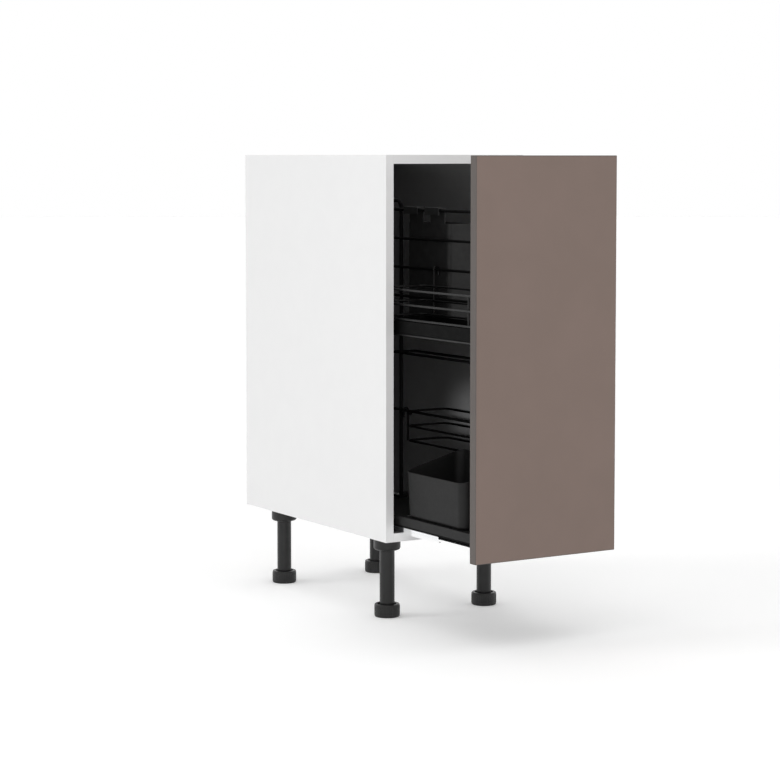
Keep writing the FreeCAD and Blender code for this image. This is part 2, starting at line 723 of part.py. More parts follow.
def build_base_board(holes):
    """Dark base board that everything on the pull-out stands on."""
    body = new_body("base_slab", (f"-{base_side}", base_front, base_bottom))
    sketch = rectangle(new_sketch(body, "XY_Plane", "base_outline"),
                       ("0", "0"), (f"2 * {base_side}", base_length))
    slab = feature(body, "Pad", "base_thickness", sketch, Length="dims.base_thickness")
    fillet(body, "base_round_corners", slab, is_upright, "dims.base_corner")
    keep(cut("base_drilled", body, holes), "base_board")


def build_door_angles():
    """Two steel angles from the base board up the back of the door."""
    door_holes, base_holes, screws = [], [], []
    for side_name, sign in SIDES:
        low_x = (f"(dims.angle_side_inset - {base_side})" if side_name == "left"
                 else f"({base_side} - dims.angle_side_inset - dims.angle_width)")
        body = new_body(f"angle_{side_name}", (low_x, door_back, base_top))
        sketch = polygon(new_sketch(body, "YZ_Plane", f"angle_{side_name}_section"), (
            ("0", "0"), ("dims.angle_reach", "0"), ("dims.angle_reach", "dims.angle_thickness"),
            ("dims.angle_thickness", "dims.angle_thickness"), ("dims.angle_thickness", "dims.angle_rise"),
            ("0", "dims.angle_rise")))
        bent = feature(body, "Pad", f"angle_{side_name}_flanges", sketch, Length="dims.angle_width")
        far_y, far_z = number("dims.angle_reach"), number("dims.angle_rise")

        def is_free_corner(edge):
            outer = edge.BoundBox.YMin > far_y * 0.99 or edge.BoundBox.ZMin > far_z * 0.99
            return outer and edge.BoundBox.XLength < edge.Length / 2
        fillet(body, f"angle_{side_name}_rounds", bent, is_free_corner, "dims.angle_round")
        shanks = []
        for share in ANGLE_SCREW_SHARES:
            name = f"angle_screw_{side_name}_{len(shanks)}"
            x = f"{low_x} + {share} * dims.angle_width"
            back = f"{door_back} + {FLANGE_HOLE_SHARE} * dims.angle_reach"
            up = f"{base_top} + {FLANGE_HOLE_SHARE} * dims.angle_rise"
            down, down_screw = screw(name + "_down", (x, back, f"{base_top} + dims.angle_thickness"),
                                     "-z", "dims.angle_thickness")
            ahead, ahead_screw = screw(name + "_ahead", (x, f"{door_back} + dims.angle_thickness", up),
                                       "-y", "dims.angle_thickness")
            shanks += [down, ahead]
            base_holes.append(down)
            door_holes.append(ahead)
            screws += [down_screw, ahead_screw]
        keep(cut(f"angle_{side_name}_drilled", body, shanks), f"door_angle_{side_name}")
    keep(group("angle_screw_set", screws), "door_angle_screws")
    return door_holes, base_holes


def build_frame():
    """Front and rear hoops on foot plates, with the top rail and rungs welded along their left side."""
    base_holes, screws = [], []
    half_wire = "dims.frame_wire / 2"
    hoops = (("front", front_leg_y, f"({front_leg_y} + dims.hoop_width)"),
             ("rear", f"({rear_leg_y} - dims.hoop_width)", rear_leg_y))
    leg_foot = f"({base_top} + dims.foot_plate_thickness)"
    crown = f"({hoop_top} - {half_wire})"
    for hoop_name, near_y, far_y in hoops:
        keep(bent_wire(f"hoop_{hoop_name}", "yz",
                       ((near_y, leg_foot), (near_y, crown), (far_y, crown), (far_y, leg_foot)),
                       "dims.hoop_bend", "dims.frame_wire", ("0", "0", "0")), f"{hoop_name}_hoop")
        middle_y = f"({near_y} + dims.hoop_width / 2)"
        plate = box(f"foot_plate_{hoop_name}",
                    ("dims.foot_plate_width", "dims.foot_plate_length", "dims.foot_plate_thickness"),
                    ("-dims.foot_plate_width / 2", f"{middle_y} - dims.foot_plate_length / 2", base_top))
        shanks = []
        for step in ("-1", "1"):
            shank, whole = screw(f"foot_screw_{hoop_name}_{len(shanks)}",
                                 ("0", f"{middle_y} + {step} * (dims.hoop_width - dims.frame_wire - "
                                       "dims.screw_head) / 4", leg_foot), "-z", "dims.foot_plate_thickness")
            shanks.append(shank)
            screws.append(whole)
        keep(cut(f"foot_plate_{hoop_name}_drilled", plate, shanks), f"{hoop_name}_foot_plate")
        base_holes += shanks
    keep(group("foot_screw_set", screws), "foot_plate_screws")

    rung_from = f"{front_leg_y} - {half_wire}"
    rung_length = f"{rear_leg_y} - {front_leg_y} + dims.frame_wire"
    keep(cylinder("top_rail", "dims.top_rail_wire", rung_length, (top_rail_x, rung_from, top_rail_z), "y"),
         "frame_top_rail")
    rungs = [cylinder(f"rung_{step}", "dims.rung_wire", rung_length, (rung_x, rung_from, rung_z(step)), "y")
             for step in RUNG_STEPS]
    keep(group("rung_set", rungs), "frame_rungs")
    return base_holes


def build_door_clips():
    """Two clips screwed to the back of the door, each round the front leg of the frame."""
    door_holes, screws = [], []
    levels = (("upper", f"({top_rail_z} - {rung_pitch} / 2)"),
              ("lower", f"(({rung_z(BOTTLE_RUNG)} + {base_top}) / 2)"))
    leg_reach = "(dims.base_door_gap + dims.front_hoop_inset)"
    nose_y = f"({leg_reach} + dims.frame_wire / 2 + dims.clip_wall)"
    nose_x = "(dims.frame_wire / 2 + dims.clip_wall)"
    ear_x = "(dims.clip_width / 2)"
    for clip_name, level in levels:
        body = new_body(f"clip_{clip_name}", ("0", door_back, f"{level} - dims.clip_height / 2"))
        outline = polygon(new_sketch(body, "XY_Plane", f"clip_{clip_name}_plan"), (
            (f"-{ear_x}", "0"), (ear_x, "0"), (ear_x, "dims.clip_ear"), (nose_x, "dims.clip_ear"),
            (nose_x, nose_y), (f"-{nose_x}", nose_y), (f"-{nose_x}", "dims.clip_ear"),
            (f"-{ear_x}", "dims.clip_ear")))
        feature(body, "Pad", f"clip_{clip_name}_block", outline, Length="dims.clip_height")
        eye = circle(new_sketch(body, "XY_Plane", f"clip_{clip_name}_eye", "dims.clip_height"),
                     ("0", leg_reach), "dims.frame_wire + 2 * dims.clip_play")
        feature(body, "Pocket", f"clip_{clip_name}_bored", eye, Length="dims.clip_height")
        shanks = []
        for side_name, sign in SIDES:
            screw_x = f"{sign} * ({ear_x} + {nose_x}) / 2"
            shank, whole = screw(f"clip_screw_{clip_name}_{side_name}",
                                 (screw_x, f"{door_back} + dims.clip_ear", level), "-y", "dims.clip_ear")
            shanks.append(shank)
            screws.append(whole)
        keep(cut(f"clip_{clip_name}_drilled", body, shanks), f"door_clip_{clip_name}")
        door_holes += shanks
    keep(group("clip_screw_set", screws), "door_clip_screws")
    return door_holes


def wire_rings(name, low, high, levels):
    """Closed rings of wire, one at each level, with rounded corners."""
    (x0, y0), (x1, y1) = low, high
    return [bent_wire(f"{name}_{i}", "xy", ((x0, y0), (x0, y1), (x1, y1), (x1, y0)),
                      "dims.basket_corner", "dims.basket_wire", ("0", "0", level), closed=True)
            for i, level in enumerate(levels)]


def build_caddy():
    """Lift-off caddy: a tray on a foot ring, three more rings above, two hooks over a rung."""
    ring_top = f"({rung_z(CADDY_RUNG)} - dims.caddy_drop)"
    ring_low = f"({ring_top} - 2 * dims.caddy_ring_pitch)"
    tray_top = f"({ring_low} - dims.caddy_tray_drop)"
    tray_bottom = f"({tray_top} - dims.tray_height)"
    near_y = f"({door_back} + dims.caddy_setback)"
    far_y = f"({near_y} + dims.caddy_length)"
    half_wire = "dims.basket_wire / 2"
    levels = [f"({ring_top} - {i} * dims.caddy_ring_pitch)" for i in range(3)]
    levels.append(f"({tray_bottom} - {half_wire})")
    rings = wire_rings("caddy_ring", (basket_left, near_y), (caddy_right, far_y), levels)
    keep(group("caddy_ring_set", rings), "caddy_rings")

    body = new_body("tray_pan", (f"{basket_left} - {half_wire}", f"{near_y} - {half_wire}", tray_bottom))
    sketch = rectangle(new_sketch(body, "XY_Plane", "tray_outline"), ("0", "0"),
                       (f"{caddy_right} - {basket_left} + dims.basket_wire",
                        "dims.caddy_length + dims.basket_wire"))
    block = feature(body, "Pad", "tray_block", sketch, Length="dims.tray_height")
    corners = fillet(body, "tray_corners", block, is_upright, f"dims.basket_corner + {half_wire}")
    soft = fillet(body, "tray_soft_floor", corners, lies_at("0"), half_wire)
    open_shell(body, "tray_hollow", soft, "dims.tray_wall")
    keep(body, "caddy_tray")

    floor = f"({tray_bottom} + dims.tray_wall)"
    inside_left = f"{basket_left} + dims.basket_wire"
    posts = [cylinder(f"caddy_post_{i}", "dims.basket_wire", f"{ring_top} - {floor}", (inside_left, y, floor))
             for i, y in enumerate((f"{near_y} + dims.basket_corner + dims.post_inset",
                                    f"{far_y} - dims.basket_corner - dims.post_inset"))]
    keep(group("caddy_post_set", posts), "caddy_posts")
    hook_top = f"({rung_z(CADDY_RUNG)} + {hook_radius})"
    hangers = [bent_wire(f"caddy_hanger_{i}", "xz",
                         ((hanger_x, f"{tray_bottom} + dims.tray_wall"), (hanger_x, hook_top),
                          (hook_x, hook_top), (hook_x, f"{rung_z(CADDY_RUNG)} - dims.hook_drop")),
                         hook_bend, "dims.basket_wire", ("0", y, "0"))
               for i, y in enumerate((f"({near_y} + dims.caddy_front_hanger)",
                                      f"({far_y} - dims.caddy_rear_hanger)"))]
    keep(group("caddy_hanger_set", hangers), "caddy_hangers")


def build_bottle_rail():
    """Open wire rail that keeps tall bottles upright right of the frame, hooked over the lowest rung."""
    ring_top = f"({rung_z(BOTTLE_RUNG)} - dims.bottle_drop)"
    right_x = f"({bottle_left} + dims.bottle_width)"
    far_y = f"({rear_leg_y} - dims.hoop_width - dims.bottle_rear_gap)"
    near_y = f"({far_y} - dims.bottle_length)"
    levels = [f"({ring_top} - {i} * dims.bottle_ring_pitch)" for i in range(3)]
    rings = wire_rings("bottle_ring", (bottle_left, near_y), (right_x, far_y), levels)
    keep(group("bottle_ring_set", rings), "bottle_rings")
    arm_places = (f"({near_y} + dims.basket_corner)", f"({far_y} - dims.basket_corner)")
    inset = f"(dims.basket_corner - {DIAGONAL_SHARE} * (dims.basket_corner + dims.basket_wire))"
    post_places = [(f"{bottle_left} + {inset}", y) for y in (f"{near_y} + {inset}", f"{far_y} - {inset}")]
    middle_y = f"({near_y} + dims.bottle_length / 2)"
    post_places += [(f"{right_x} - dims.basket_wire", y) for y in (arm_places[0], middle_y)]
    post_height = f"{levels[0]} - {levels[2]}"
    posts = [cylinder(f"bottle_post_{i}", "dims.basket_wire", post_height, (x, y, levels[2]))
             for i, (x, y) in enumerate(post_places)]
    keep(group("bottle_post_set", posts), "bottle_posts")
    arm_z = f"({levels[0]} - dims.basket_wire)"
    hook_top = f"({rung_z(BOTTLE_RUNG)} + {hook_radius})"
    arms = [bent_wire(f"bottle_arm_{i}", "xz",
                      ((f"{bottle_left} + dims.basket_wire / 2", arm_z), (hook_x, arm_z),
                       (hook_x, hook_top), (hanger_x, hook_top),
                       (hanger_x, f"{rung_z(BOTTLE_RUNG)} - dims.hook_drop")),
                      hook_bend, "dims.basket_wire", ("0", y, "0"))
            for i, y in enumerate(arm_places)]
    keep(group("bottle_arm_set", arms), "bottle_arms")


def build_storage_box():
    """Drafted plastic box whose rim climbs from its left wall to its right wall."""
    right_x = f"({bottle_left} - dims.basket_wire / 2 - dims.box_rail_gap)"
    width = f"({right_x} + {base_side} - dims.box_side_inset)"
    body = new_body("box_tub", (f"dims.box_side_inset - {base_side}",
                                f"{door_back} + dims.box_setback", seat))
    foot = rectangle(new_sketch(body, "XY_Plane", "box_foot"), ("dims.box_draft", "dims.box_draft"),
                     (f"{width} - dims.box_draft", "dims.box_length - dims.box_draft"))
    block = feature(body, "Pad", "box_block", foot, Length="dims.box_high_rim")
    tub = flared(body, "box_drafted", block, "atan(dims.box_draft / dims.box_high_rim)")
    corners = fillet(body, "box_corners", tub, is_upright, "dims.box_corner")
    fillet(body, "box_soft_foot", corners, lies_at("0"), "dims.box_foot_round")
    low, high = "dims.box_low_rim", "dims.box_high_rim"
    beyond = f"{width} + dims.overrun"
    above = f"{high} + dims.overrun"
    slope = polygon(new_sketch(body, "XZ_Plane", "box_slope", "dims.overrun"), (
        ("-dims.overrun", low), ("0", low), (width, high), (beyond, high),
        (beyond, above), ("-dims.overrun", above)))
    sloped = feature(body, "Pocket", "box_sloped_rim", slope, Length="dims.box_length + 2 * dims.overrun")
    open_shell(body, "box_hollow", sloped, "dims.box_wall")
    keep(body, "storage_box")


def build_hanging_pocket():
    """Open pocket on two flat hooks over the top rail."""
    z0 = f"({top_rail_z} - dims.pocket_drop - dims.pocket_height)"
    near_y = f"({rear_leg_y} - dims.hoop_width - dims.pocket_rear_gap - dims.pocket_length)"
    body = new_body("pocket_tub", ("dims.pocket_gap", near_y, z0))
    sketch = rectangle(new_sketch(body, "XY_Plane", "pocket_plan"), ("0", "0"),
                       ("dims.pocket_depth", "dims.pocket_length"))
    feature(body, "Pad", "pocket_block", sketch, Length="dims.pocket_height")
    inside = rectangle(new_sketch(body, "XY_Plane", "pocket_inside", "dims.pocket_height"),
                       ("dims.pocket_wall", "dims.pocket_wall"),
                       ("dims.pocket_depth - dims.pocket_wall", "dims.pocket_length - dims.pocket_wall"))
    hollow = feature(body, "Pocket", "pocket_hollow", inside, Length="dims.pocket_height - dims.pocket_wall")
    half_wall = number("dims.pocket_wall") / 2
    inner_round = fillet(body, "pocket_inner_corners", hollow,
                         lambda edge: is_upright(edge) and edge.BoundBox.ZMin > half_wall,
                         "dims.pocket_corner - dims.pocket_wall")
    outer_round = fillet(body, "pocket_corners", inner_round,
                         lambda edge: is_upright(edge) and edge.BoundBox.ZMin < half_wall,
                         "dims.pocket_corner")
    fillet(body, "pocket_soft_floor", outer_round, lies_at("0"), "dims.pocket_wall")

    rail_x = f"({top_rail_x} - dims.pocket_gap)"
    rail_z = "(dims.pocket_height + dims.pocket_drop)"
    clear = "(dims.top_rail_wire / 2 + dims.seat_play)"
    strap = "dims.pocket_wall"
    inside_z, outside_z = f"({rail_z} + {clear})", f"({rail_z} + {clear} + {strap})"
    inside_x, outside_x = f"({rail_x} - {clear})", f"({rail_x} - {clear} - {strap})"
    root, lip = "dims.pocket_height - dims.pocket_hook_root", f"{rail_z} - dims.pocket_hook_lip"
    hook = polygon(new_sketch(body, "XZ_Plane", "pocket_hook", "-dims.pocket_hook_inset"), (
        ("0", root), (strap, root), (strap, outside_z), (outside_x, outside_z), (outside_x, lip),
        (inside_x, lip), (inside_x, inside_z), ("0", inside_z)))
    first = feature(body, "Pad", "pocket_hook_strap", hook, Length="dims.pocket_hook_width", Reversed=True)
    pair = body.newObject("PartDesign::LinearPattern", "pocket_hook_pair")
    pair.Originals = [first]
    pair.Direction = (origin_feature(body, "Y_Axis"), [""])
    pair.setExpression("Length", "dims.pocket_hook_pitch")
    pair.Occurrences = 2
    body.Tip = pair
    keep(body, "hanging_pocket")


def build_towel_rail():
    """Wire rail along the right of the frame, its two ends welded to a rung inside the hoops."""
    stem_x = f"{rung_x} + dims.rung_wire / 2"
    near_y = f"({front_leg_y} + dims.hoop_width / 2)"
    far_y = f"({rear_leg_y} - dims.hoop_width / 2)"
    keep(bent_wire("towel_wire", "xy", ((stem_x, near_y), ("dims.towel_reach", near_y),
                                        ("dims.towel_reach", far_y), (stem_x, far_y)),
                   "dims.towel_bend", "dims.rung_wire", ("0", "0", rung_z(TOWEL_RUNG))), "towel_rail")


def check_document():
    """Stop if any object failed, or a sub-part is empty or not a valid solid."""
    doc.recompute()
    for obj in doc.Objects:
        if "Invalid" in obj.State or "Error" in obj.State:
            raise RuntimeError(f"{obj.Name} failed: {obj.State}")
    for piece in pieces:
        shape = piece.Shape
        if shape.isNull() or not shape.isValid() or not shape.Solids:
            raise RuntimeError(f"{piece.Label} is not a valid solid")


def write_parts():
    os.makedirs("parts", exist_ok=True)
    for piece in pieces:
        piece.Shape.exportStep(f"parts/{piece.Label}.step")
        print(f"{piece.Label}: {len(piece.Shape.Solids)} solids, {piece.Shape.Volume:.0f} mm3")


joint_holes = build_carcass_joints()
leg_holes = build_legs()
rail_holes, drawer_holes = build_runners()
build_carcass(joint_holes, leg_holes + rail_holes)
angle_door_holes, angle_base_holes = build_door_angles()
frame_holes = build_frame()
clip_door_holes = build_door_clips()
build_base_board(drawer_holes + angle_base_holes + frame_holes)
build_door(angle_door_holes + clip_door_holes)
build_caddy()
build_bottle_rail()
build_storage_box()
build_hanging_pocket()
build_towel_rail()
check_document()
write_parts()
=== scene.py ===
# %% [markdown]
# A narrow kitchen base cabinet stands on black legs, with its pull-out drawn part way open.
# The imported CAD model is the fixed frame: every board, wire and screw is already in its place.
# This lesson gives each piece its finish, adds the small made details, and lights it like a studio shot.
# All lengths are metres, and the frame's X, Y and Z are used as they are.

# %% Load the frame
import json
import math

import bmesh
import bpy
from mathutils import Matrix, Vector

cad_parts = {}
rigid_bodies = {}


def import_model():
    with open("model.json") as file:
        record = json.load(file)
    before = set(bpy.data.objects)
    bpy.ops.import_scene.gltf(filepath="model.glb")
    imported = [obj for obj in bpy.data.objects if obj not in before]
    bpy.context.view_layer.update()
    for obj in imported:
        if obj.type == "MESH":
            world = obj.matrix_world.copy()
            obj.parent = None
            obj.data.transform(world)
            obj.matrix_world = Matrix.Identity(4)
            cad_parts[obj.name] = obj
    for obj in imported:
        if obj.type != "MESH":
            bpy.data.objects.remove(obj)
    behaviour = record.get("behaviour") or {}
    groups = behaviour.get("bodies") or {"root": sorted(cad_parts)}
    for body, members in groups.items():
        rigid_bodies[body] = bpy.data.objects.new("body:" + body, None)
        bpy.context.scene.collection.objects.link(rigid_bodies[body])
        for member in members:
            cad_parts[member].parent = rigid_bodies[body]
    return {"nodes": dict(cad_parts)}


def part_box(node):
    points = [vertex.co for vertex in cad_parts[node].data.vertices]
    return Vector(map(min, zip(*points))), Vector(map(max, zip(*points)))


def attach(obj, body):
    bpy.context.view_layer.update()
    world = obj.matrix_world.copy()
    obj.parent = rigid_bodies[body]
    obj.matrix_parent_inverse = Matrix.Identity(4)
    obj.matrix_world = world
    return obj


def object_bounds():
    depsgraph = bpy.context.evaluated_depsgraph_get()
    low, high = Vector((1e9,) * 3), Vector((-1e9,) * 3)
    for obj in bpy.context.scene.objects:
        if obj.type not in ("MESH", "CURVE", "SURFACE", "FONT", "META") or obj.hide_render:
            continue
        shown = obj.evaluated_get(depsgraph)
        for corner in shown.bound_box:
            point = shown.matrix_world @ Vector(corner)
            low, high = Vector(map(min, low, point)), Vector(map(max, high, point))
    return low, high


for leftover in list(bpy.data.objects):
    bpy.data.objects.remove(leftover)
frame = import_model()
cad_low, cad_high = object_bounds()
MM = 0.001
print("CAD box in mm:", [round(v / MM, 1) for v in (cad_high - cad_low)])

# %% [markdown]
# Blender builds a finish out of shader nodes. The same few steps come back in each finish here:
# make a material, take the object's own coordinates, and feed a noise into colour, roughness or bump.
# Object coordinates suit a CAD frame, because each node's object sits at the origin,
# so a coordinate is a true place on the cabinet and a noise scale is a true size.

# %% Start a finish
def start_finish(name, roughness, metallic=0.0):
    """A new material; constant values go straight onto the shader's sockets."""
    finish = bpy.data.materials.new(name)
    finish.use_nodes = True
    shader = finish.node_tree.nodes["Principled BSDF"]
    shader.inputs["Roughness"].default_value = roughness
    shader.inputs["Metallic"].default_value = metallic
    return finish, finish.node_tree, shader


def add_node(tree, kind, values=None, **settings):
    """A shader node with its settings and the values of its sockets."""
    made = tree.nodes.new(kind)
    for name, value in settings.items():
        setattr(made, name, value)
    for socket, value in (values or {}).items():
        made.inputs[socket].default_value = value
    return made


def dress(finish, *names):
    """Give CAD nodes a finish through their material slots."""
    for name in names:
        for slot in frame["nodes"][name].material_slots:
            slot.material = finish
    print(finish.name, "on", len(names), "nodes")


print("nodes to dress:", len(frame["nodes"]))

# %% [markdown]
# A finish is never one even colour. Noise at a true size drifts the tone, varies the gloss,
# and raises a fine relief. These helpers wire one noise each, so that a finish reads as a short recipe.

# %% Noise, tone, gloss and relief
NOISE_ROUGHNESS = 0.55


def place_on_object(tree, stretch=(1.0, 1.0, 1.0)):
    """Object coordinates, stretched where a grain runs one way."""
    place = add_node(tree, "ShaderNodeTexCoord")
    spread = add_node(tree, "ShaderNodeMapping", {"Scale": stretch})
    tree.links.new(place.outputs["Object"], spread.inputs["Vector"])
    return spread.outputs["Vector"]


def noise(tree, place, size, detail=2.0):
    """Noise whose patches are about as large as size, in metres."""
    made = add_node(tree, "ShaderNodeTexNoise",
                    {"Scale": 1.0 / size, "Detail": detail, "Roughness": NOISE_ROUGHNESS})
    tree.links.new(place, made.inputs["Vector"])
    return made.outputs["Fac"]


def tone(tree, factor, dark, light, low=0.35, high=0.65):
    """Colour that drifts between two near tones."""
    ramp = add_node(tree, "ShaderNodeValToRGB")
    for stop, at, colour in zip(ramp.color_ramp.elements, (low, high), (dark, light)):
        stop.position = at
        stop.color = (*colour, 1.0)
    tree.links.new(factor, ramp.inputs["Fac"])
    return ramp.outputs["Color"]


def drift_roughness(tree, shader, factor, low, high):
    """Gloss that varies a little from place to place."""
    spread = add_node(tree, "ShaderNodeMapRange", {"To Min": low, "To Max": high})
    tree.links.new(factor, spread.inputs["Value"])
    tree.links.new(spread.outputs["Result"], shader.inputs["Roughness"])


def relief(tree, shader, factor, depth, strength):
    """Fine surface relief of a depth in metres."""
    bump = add_node(tree, "ShaderNodeBump", {"Distance": depth, "Strength": strength})
    tree.links.new(factor, bump.inputs["Height"])
    tree.links.new(bump.outputs["Normal"], shader.inputs["Normal"])


print("noise roughness:", NOISE_ROUGHNESS)

# %% [markdown]
# One board is one CAD solid, but its faces wear different coatings:
# white outside, dark inside, raw at the back.
# A second material per face would need a changed mesh. Instead the finish asks where it is:
# a test on X, Y or Z says whether the surface lies past the plane of a face,
# and the test mixes two colours.

# %% Colours that depend on the place
PLANE_MARGIN = 0.05 * MM


def past_plane(tree, place, axis, plane, side):
    """1 past a plane across one axis and 0 before it; side is the way past, 1 or -1."""
    where = add_node(tree, "ShaderNodeSeparateXYZ")
    test = add_node(tree, "ShaderNodeMath", operation="GREATER_THAN" if side > 0 else "LESS_THAN")
    test.inputs[1].default_value = plane - side * PLANE_MARGIN
    tree.links.new(place, where.inputs["Vector"])
    tree.links.new(where.outputs[axis], test.inputs[0])
    return test.outputs[0]


def blend(tree, factor, first, second):
    """The first colour where the factor is 0, the second where it is 1."""
    mix = add_node(tree, "ShaderNodeMix", data_type="RGBA")
    tree.links.new(factor, mix.inputs["Factor"])
    for socket, colour in zip([s for s in mix.inputs if s.type == "RGBA"], (first, second)):
        tree.links.new(colour, socket)
    return next(s for s in mix.outputs if s.type == "RGBA")


print("margin at a plane in mm:", PLANE_MARGIN / MM)

# %% [markdown]
# The carcass is chipboard with a thin coating: white outside and on its front edges, dark grey inside.
# The edges at the back carry no band, so the pressed chips show there, in tan and brown.
# Voronoi cells give the chips, because each cell has one value, as each chip has one tone.

# %% Coated board
WHITE_COAT = ((0.852, 0.852, 0.852), (0.860, 0.860, 0.859))
DARK_COAT = ((0.240, 0.240, 0.243), (0.258, 0.258, 0.261))
CHIPS = ((0.30, 0.20, 0.11), (0.60, 0.45, 0.29))
CHIP_SIZE = 2.4 * MM
CLOUD_SIZE = 40 * MM
COAT_ROUGHNESS = (0.42, 0.46)
PORE_SIZE = 0.7 * MM
PORE_DEPTH = 0.03 * MM


def chip_tone(tree, place):
    """Tan and brown chips of a sawn chipboard edge."""
    cells = add_node(tree, "ShaderNodeTexVoronoi", {"Scale": 1.0 / CHIP_SIZE})
    tree.links.new(place, cells.inputs["Vector"])
    return tone(tree, cells.outputs["Color"], *CHIPS, low=0.1, high=0.9)


def coated_board(name, inner, raw):
    """White coating, dark past the inner plane, raw chips past the raw plane.

    A plane is its axis, its place and the side that counts as past it.
    """
    finish, tree, shader = start_finish(name, COAT_ROUGHNESS[0])
    place = place_on_object(tree)
    cloud = noise(tree, place, CLOUD_SIZE)
    coat = blend(tree, past_plane(tree, place, *inner), tone(tree, cloud, *WHITE_COAT),
                 tone(tree, cloud, *DARK_COAT))
    colour = blend(tree, past_plane(tree, place, *raw), coat, chip_tone(tree, place))
    tree.links.new(colour, shader.inputs["Base Color"])
    drift_roughness(tree, shader, cloud, *COAT_ROUGHNESS)
    relief(tree, shader, noise(tree, place, PORE_SIZE), PORE_DEPTH, strength=0.35)
    return finish


print("chips of", CHIP_SIZE / MM, "mm on the raw edges")

# %% [markdown]
# Each board turns another face to the inside, so each needs its own plane for the dark coating.
# The planes could be typed in, but the frame's boxes already hold them, and they follow the model.
# The back panel shows no raw edge: its sawn sides sit in the grooves.

# %% Boards of the carcass
left_inner = ("X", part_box("left_side_panel")[1].x, 1)
right_inner = ("X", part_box("right_side_panel")[0].x, -1)
floor_inner = ("Z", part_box("bottom_panel")[1].z, 1)
rail_inner = ("Z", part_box("front_top_rail")[0].z, -1)
back_inner = ("Y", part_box("back_panel")[0].y, -1)
rear_edge = ("Y", cad_high.y, 1)
sawn_side = ("X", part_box("back_panel")[1].x, 1)
dress(coated_board("board_left", left_inner, rear_edge), "left_side_panel")
dress(coated_board("board_right", right_inner, rear_edge), "right_side_panel")
dress(coated_board("board_bottom", floor_inner, rear_edge), "bottom_panel")
dress(coated_board("board_rails", rail_inner, rear_edge), "front_top_rail", "rear_top_rail")
dress(coated_board("board_back", back_inner, sawn_side), "back_panel")

# %% [markdown]
# The door is a plain slab in a matte taupe lacquer, a warm grey-brown, and its edges are a shade darker.
# Sprayed lacquer is never quite flat: it has a soft ripple about as wide as a grain of rice.
# A shallow bump at that size breaks up the reflections, and a slow drift keeps the colour alive.

# %% Door lacquer
TAUPE = ((0.180, 0.127, 0.104), (0.188, 0.132, 0.109))
TAUPE_EDGE = ((0.086, 0.071, 0.064), (0.094, 0.078, 0.070))
door_low, door_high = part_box("door_front")
EDGE_ROUND = 1.2 * MM
LACQUER_DRIFT_SIZE = 90 * MM
LACQUER_GLOSS_SIZE = 25 * MM
LACQUER_ROUGHNESS = (0.45, 0.54)
RIPPLE_SIZE = 2.5 * MM
RIPPLE_DEPTH = 0.02 * MM


def door_lacquer(name):
    """Taupe on the faces, darker past the rounded edge on each side."""
    finish, tree, shader = start_finish(name, roughness=0.48)
    place = place_on_object(tree)
    slow = noise(tree, place, LACQUER_DRIFT_SIZE)
    colour = tone(tree, slow, *TAUPE)
    edge = tone(tree, slow, *TAUPE_EDGE)
    for axis, plane, side in (("X", door_low.x + EDGE_ROUND, -1), ("X", door_high.x - EDGE_ROUND, 1),
                              ("Z", door_low.z + EDGE_ROUND, -1), ("Z", door_high.z - EDGE_ROUND, 1)):
        colour = blend(tree, past_plane(tree, place, axis, plane, side), colour, edge)
    tree.links.new(colour, shader.inputs["Base Color"])
    drift_roughness(tree, shader, noise(tree, place, LACQUER_GLOSS_SIZE), *LACQUER_ROUGHNESS)
    relief(tree, shader, noise(tree, place, RIPPLE_SIZE, detail=1.0), RIPPLE_DEPTH, strength=0.4)
    return finish


dress(door_lacquer("taupe_lacquer"), "door_front")

# %% [markdown]
# The wire goods, the angles and the drawer members of the runners wear a black powder coat.
# The powder melts into a skin with tiny pebbles, which spread the highlights along a wire.
# The lift-off caddy has a satin skin, and the frame that carries it a matte one.
# The base board has a dark coating too, a little blacker than the inside of the carcass.

# %% Powder coat and base board
COAT_BLACK = ((0.005, 0.005, 0.005), (0.008, 0.008, 0.008))
BASE_TONES = ((0.010, 0.010, 0.010), (0.013, 0.013, 0.013))
POWDER_DRIFT_SIZE = 12 * MM
POWDER_GLOSS_SIZE = 5 * MM
POWDER_GLOSS_DRIFT = 0.05
PEBBLE_SIZE = 0.5 * MM
PEBBLE_DEPTH = 0.04 * MM


def powder_coat(name, tones, roughness, gloss):
    """Melted powder: a pebbled skin; gloss is the shader's specular level."""
    finish, tree, shader = start_finish(name, roughness)
    shader.inputs["Specular IOR Level"].default_value = gloss
    place = place_on_object(tree)
    drift = noise(tree, place, POWDER_DRIFT_SIZE)
    tree.links.new(tone(tree, drift, *tones), shader.inputs["Base Color"])
    drift_roughness(tree, shader, noise(tree, place, POWDER_GLOSS_SIZE),
                    roughness - POWDER_GLOSS_DRIFT, roughness + POWDER_GLOSS_DRIFT)
    relief(tree, shader, noise(tree, place, PEBBLE_SIZE), PEBBLE_DEPTH, strength=0.4)
    return finish


matte_black = powder_coat("matte_black_coat", COAT_BLACK, 0.6, 0.05)
satin_black = powder_coat("satin_black_coat", COAT_BLACK, 0.36, 0.3)
dress(matte_black, "front_hoop", "rear_hoop", "frame_top_rail", "frame_rungs", "front_foot_plate",
      "rear_foot_plate", "bottle_rings", "bottle_posts", "bottle_arms", "towel_rail", "door_angle_left",
      "door_angle_right", "runner_drawer_member_left", "runner_drawer_member_right")
dress(satin_black, "caddy_rings", "caddy_posts", "caddy_hangers")
dress(powder_coat("dark_board_coat", BASE_TONES, 0.5, 0.2), "base_board")

# %% [markdown]
# The legs, clips, tray, box and pocket are injection moulded plastic.
# A mould is etched, so the plastic copies a fine leathery grain and looks matte.
# Voronoi distance makes that grain: small domes with narrow valleys between them.

